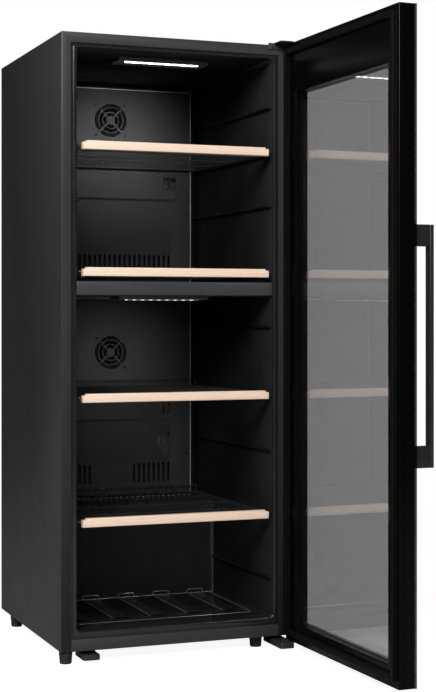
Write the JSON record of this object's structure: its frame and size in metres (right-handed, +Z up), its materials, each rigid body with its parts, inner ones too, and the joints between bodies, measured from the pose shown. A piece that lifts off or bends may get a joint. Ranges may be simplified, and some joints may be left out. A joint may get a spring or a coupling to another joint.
{
  "type": "wine cooler",
  "caption": "Tall free-standing wine cooler, black cabinet with two zones, wooden-fronted wire shelves that slide, and a hinged glass door with a bar handle, shown open.",
  "frame": {"origin": "on the floor, under the middle of the footprint with the door open as modelled", "axes": "+Z up, +Y from the door side to the back, +X to the right seen from the front"},
  "size_m": [0.689, 1.225, 1.5361],
  "materials": {
    "painted_steel": "satin",
    "zinc_steel": "satin",
    "hinge_steel": "satin",
    "pin_steel": "gloss",
    "foam": "matte",
    "liner_plastic": "satin",
    "divider_plastic": "satin",
    "grey_plastic": "satin",
    "black_plastic": "satin",
    "gloss_black": "gloss",
    "lens": "satin",
    "evaporator_plate": "satin",
    "black_aluminium": "satin",
    "coated_wire": "satin",
    "beech": "satin",
    "rubber": "matte",
    "tinted_glass": "gloss",
    "handle_metal": "satin",
    "copper": "satin",
    "circuit_board": "satin"
  },
  "bodies": {
    "cabinet": {"outer_casing": "painted_steel", "front_bottom_rail": "painted_steel", "base_plate": "zinc_steel", "compressor_tray": "zinc_steel", "rear_panel": "zinc_steel", "compressor_cover": "zinc_steel", "foam_insulation": "foam", "inner_liner": "liner_plastic", "zone_divider": "divider_plastic", "ceiling_lamp_housing": "grey_plastic", "ceiling_lamp_lens": "lens", "divider_lamp_housing": "grey_plastic", "divider_lamp_lens": "lens", "upper_duct_panel": "liner_plastic", "lower_duct_panel": "liner_plastic", "upper_fan_frame": "black_plastic", "lower_fan_frame": "black_plastic", "upper_evaporator": "evaporator_plate", "lower_evaporator": "evaporator_plate", "upper_temperature_sensor": "black_plastic", "lower_temperature_sensor": "black_plastic", "top_hinge_bracket": "hinge_steel", "top_hinge_pin": "pin_steel", "bottom_hinge_bracket": "hinge_steel", "bottom_hinge_pin": "pin_steel", "front_support": "hinge_steel", "compressor_mount": "painted_steel", "compressor": "painted_steel", "drip_tray": "grey_plastic", "condenser": "copper", "mains_inlet": "black_plastic", "back_left_foot": "rubber", "back_right_foot": "rubber"},
    "door": {"door_frame": "gloss_black", "outer_glass": "tinted_glass", "inner_glass": "tinted_glass", "glass_spacer": "black_aluminium", "door_gasket": "rubber", "lower_hinge_bush": "grey_plastic", "upper_hinge_bush": "grey_plastic", "handle_grip": "handle_metal", "handle_mount_lower": "handle_metal", "handle_mount_upper": "handle_metal", "display_module": "black_plastic", "control_board": "circuit_board"},
    "shelf_1": {"wire_shelf_1": "coated_wire", "shelf_front_1": "beech"},
    "shelf_2": {"wire_shelf_2": "coated_wire", "shelf_front_2": "beech"},
    "shelf_3": {"wire_shelf_3": "coated_wire", "shelf_front_3": "beech"},
    "shelf_4": {"wire_shelf_4": "coated_wire", "shelf_front_4": "beech"},
    "upper_fan": {"upper_fan_rotor": "black_plastic"},
    "lower_fan": {"lower_fan_rotor": "black_plastic"},
    "front_left_foot": {"front_left_foot": "rubber"},
    "front_right_foot": {"front_right_foot": "rubber"}
  },
  "joints": [
    {"name": "door_hinge", "type": "hinge", "parent": "cabinet", "child": "door", "pos_m": [0.24546, -0.0225, 0.78], "axis": [0, 0, 1], "range_deg": [-91, 19]},
    {"name": "shelf_1_slide", "type": "slide", "parent": "cabinet", "child": "shelf_1", "axis": [0, -1, 0], "range_m": [0, 0.3]},
    {"name": "shelf_2_slide", "type": "slide", "parent": "cabinet", "child": "shelf_2", "axis": [0, -1, 0], "range_m": [0, 0.3]},
    {"name": "shelf_3_slide", "type": "slide", "parent": "cabinet", "child": "shelf_3", "axis": [0, -1, 0], "range_m": [0, 0.3]},
    {"name": "shelf_4_slide", "type": "slide", "parent": "cabinet", "child": "shelf_4", "axis": [0, -1, 0], "range_m": [0, 0.3]},
    {"name": "upper_fan_spin", "type": "hinge", "parent": "cabinet", "child": "upper_fan", "pos_m": [-0.04704, 0.5535, 1.391], "axis": [0, 1, 0], "continuous": true},
    {"name": "lower_fan_spin", "type": "hinge", "parent": "cabinet", "child": "lower_fan", "pos_m": [-0.04704, 0.5535, 0.7395], "axis": [0, 1, 0], "continuous": true},
    {"name": "front_left_foot_turn", "type": "hinge", "parent": "cabinet", "child": "front_left_foot", "pos_m": [-0.32804, 0.0135, 0], "axis": [0, 0, 1], "continuous": true},
    {"name": "front_right_foot_turn", "type": "hinge", "parent": "cabinet", "child": "front_right_foot", "pos_m": [0.17796, 0.0315, 0], "axis": [0, 0, 1], "continuous": true}
  ]
}
